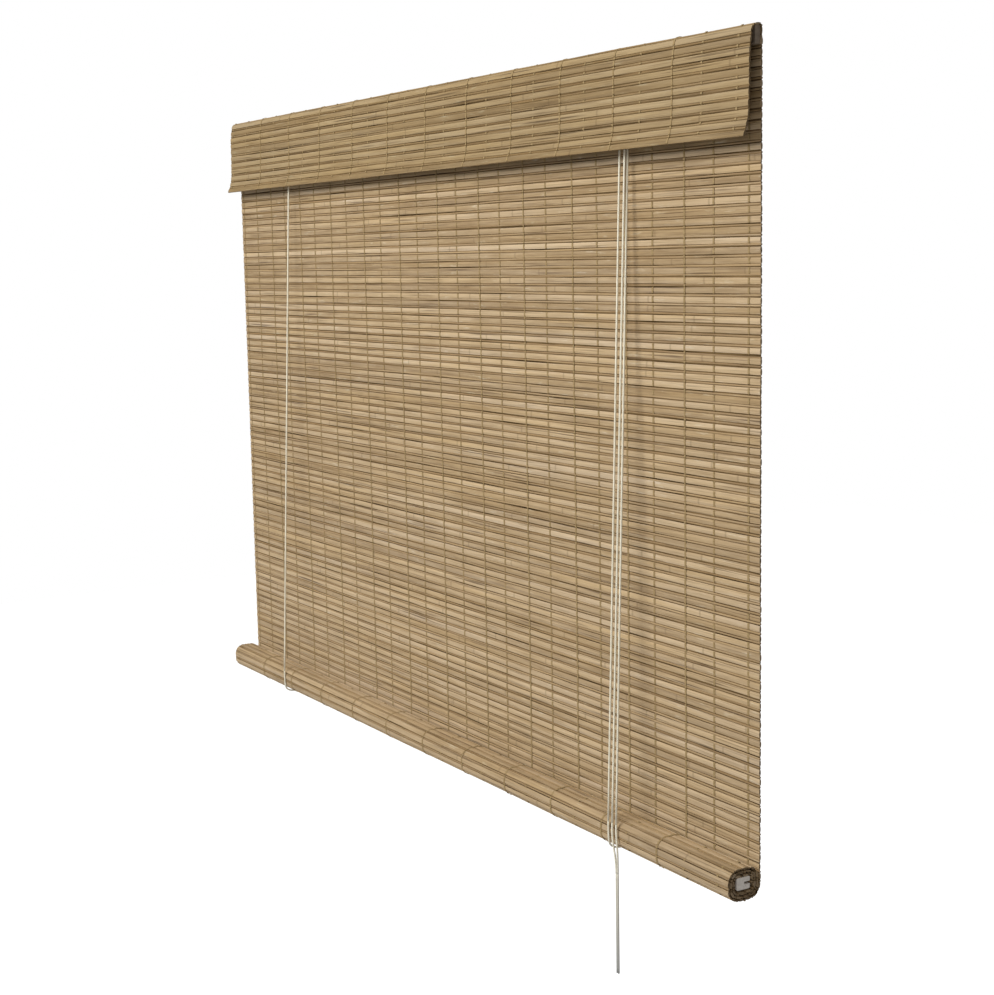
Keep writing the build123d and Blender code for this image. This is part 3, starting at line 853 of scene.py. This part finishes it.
cords = [
    ("left", -420.0, LEFT_WHEEL_X - WHEEL_RADIUS, LEFT_GROOVE_Y, [
        (417.6, -45.2, SLING_TOP),
        (418.2, -45.9, -803.0),
        (421.4, -46.6, -815.0),
        (426.3, -47.1, -828.0),
        (427.4, -47.2, -842.0),
    ]),
    ("right", 410.0, LOCK_WHEEL_X - WHEEL_RADIUS, RIGHT_GROOVE_Y, [
        (424.8, -45.2, SLING_TOP),
        (425.8, -45.9, -803.0),
        (428.4, -46.6, -815.0),
        (429.7, -47.1, -828.0),
        (429.9, -47.2, -842.0),
    ]),
]
PULL_X = LOCK_WHEEL_X + WHEEL_RADIUS
for side, sling_x, strand_x, groove_y, drape in cords:
    under = sling(sling_x)
    top = (strand_x, groove_y, STRAND_END)
    pull_top = (PULL_X, groove_y, STRAND_END)
    laid = lay_cord(side + "_cord_head_run", over(strand_x, PULL_X, groove_y), "object", "taut")
    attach(laid[0], "root")
    for part, start, end, keep in (
        ("back", (sling_x, CORD_BACK_Y, BACK_TOP), under[-1], BACK_KEEP),
        ("front", top, under[0], STRAND_KEEP),
        ("pull", pull_top, drape[0], STRAND_KEEP),
    ):
        laid = lay_cord(side + "_cord_" + part, straight(start, end), "object", "taut")
        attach(laid[0], "root")
        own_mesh(laid[0])
    for part, points in (("sling", under), ("drape", drape)):
        laid = lay_cord(side + "_cord_" + part, points, "object", "hanging")
        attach(laid[0], "lift")
    low = (drape[-1][0], drape[-1][1], TAIL_END)
    laid = lay_cord(side + "_cord_tail", straight(drape[-1], low), "bare", "hanging")
    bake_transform(laid[0])


# Floor, light and camera

FLOOR_LEVEL = -2.3
FLOOR_HALF = 9.0
LAMP_AIM = (0, 0, -0.4)
CAMERA_PLACE = Vector((1.87323, -1.05283, -0.20016))
CAMERA_AIM = Vector((0.17404, -0.03334, -0.47103))
CAMERA_ROLL = math.radians(-1.0575)
CAMERA_LENS = 62.89


def shown_white(n, lit, strength):
    """The lit surface, lifted towards white where the camera or a reflection sees it."""
    rays = n.add("ShaderNodeLightPath").outputs
    seen = n.math("MAXIMUM", rays["Is Camera Ray"], rays["Is Glossy Ray"])
    glow = n.add("ShaderNodeEmission", Strength=n.math("MULTIPLY", seen, strength))
    n.put(glow, "Color", (1, 1, 1, 1))
    return n.add("ShaderNodeAddShader", **{"0": lit, "1": glow.outputs[0]}).outputs[0]


def pale_floor():
    corners = [(-1, -1), (1, -1), (1, 1), (-1, 1)]
    places = [(x * FLOOR_HALF, y * FLOOR_HALF, FLOOR_LEVEL) for x, y in corners]
    floor = new_piece("floor", places, [(0, 1, 2, 3)])
    material, n, shader = new_material("pale_floor", 0.9)
    n.put(shader, "Base Color", (0.86, 0.86, 0.86, 1.0))
    output = [node for node in n.tree.nodes if node.type == "OUTPUT_MATERIAL"][0]
    n.put(output, "Surface", shown_white(n, shader.outputs[0], 0.9))
    floor.data.materials.append(material)
    floor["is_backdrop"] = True


def soft_lamp(name, place, aim, size, power):
    data = bpy.data.lights.new(name, "AREA")
    data.size = size
    data.energy = power
    lamp = bpy.data.objects.new(name, data)
    lamp.location = place
    lamp.rotation_euler = (Vector(aim) - Vector(place)).to_track_quat("-Z", "Y").to_euler()
    bpy.context.scene.collection.objects.link(lamp)


def studio():
    world = bpy.data.worlds.new("studio")
    bpy.context.scene.world = world
    world.use_nodes = True
    n = Nodes(world.node_tree)
    world.node_tree.nodes.clear()
    rays = n.add("ShaderNodeLightPath").outputs
    seen = n.math("MAXIMUM", rays["Is Camera Ray"], rays["Is Transmission Ray"])
    strength = n.math("ADD", n.math("MULTIPLY", seen, 0.74), 0.26)
    sky = n.add("ShaderNodeBackground", Color=(1, 1, 1, 1), Strength=strength)
    n.add("ShaderNodeOutputWorld", Surface=sky.outputs[0])
    soft_lamp("front_light", (-0.1, -2.6, 1.5), LAMP_AIM, 1.8, 104)
    soft_lamp("side_light", (2.4, -1.8, 0.6), LAMP_AIM, 1.4, 5)


def camera():
    data = bpy.data.cameras.new("camera")
    data.lens = CAMERA_LENS
    data.sensor_width = 36.0
    data.sensor_fit = "HORIZONTAL"
    lens = bpy.data.objects.new("camera", data)
    ahead = (CAMERA_AIM - CAMERA_PLACE).to_track_quat("-Z", "Y").to_matrix()
    turn = ahead @ Matrix.Rotation(CAMERA_ROLL, 3, "Z")
    lens.matrix_world = Matrix.Translation(CAMERA_PLACE) @ turn.to_4x4()
    bpy.context.scene.collection.objects.link(lens)
    bpy.context.scene.camera = lens


pale_floor()
studio()
camera()
bpy.context.scene.view_settings.view_transform = "Standard"

low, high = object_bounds()
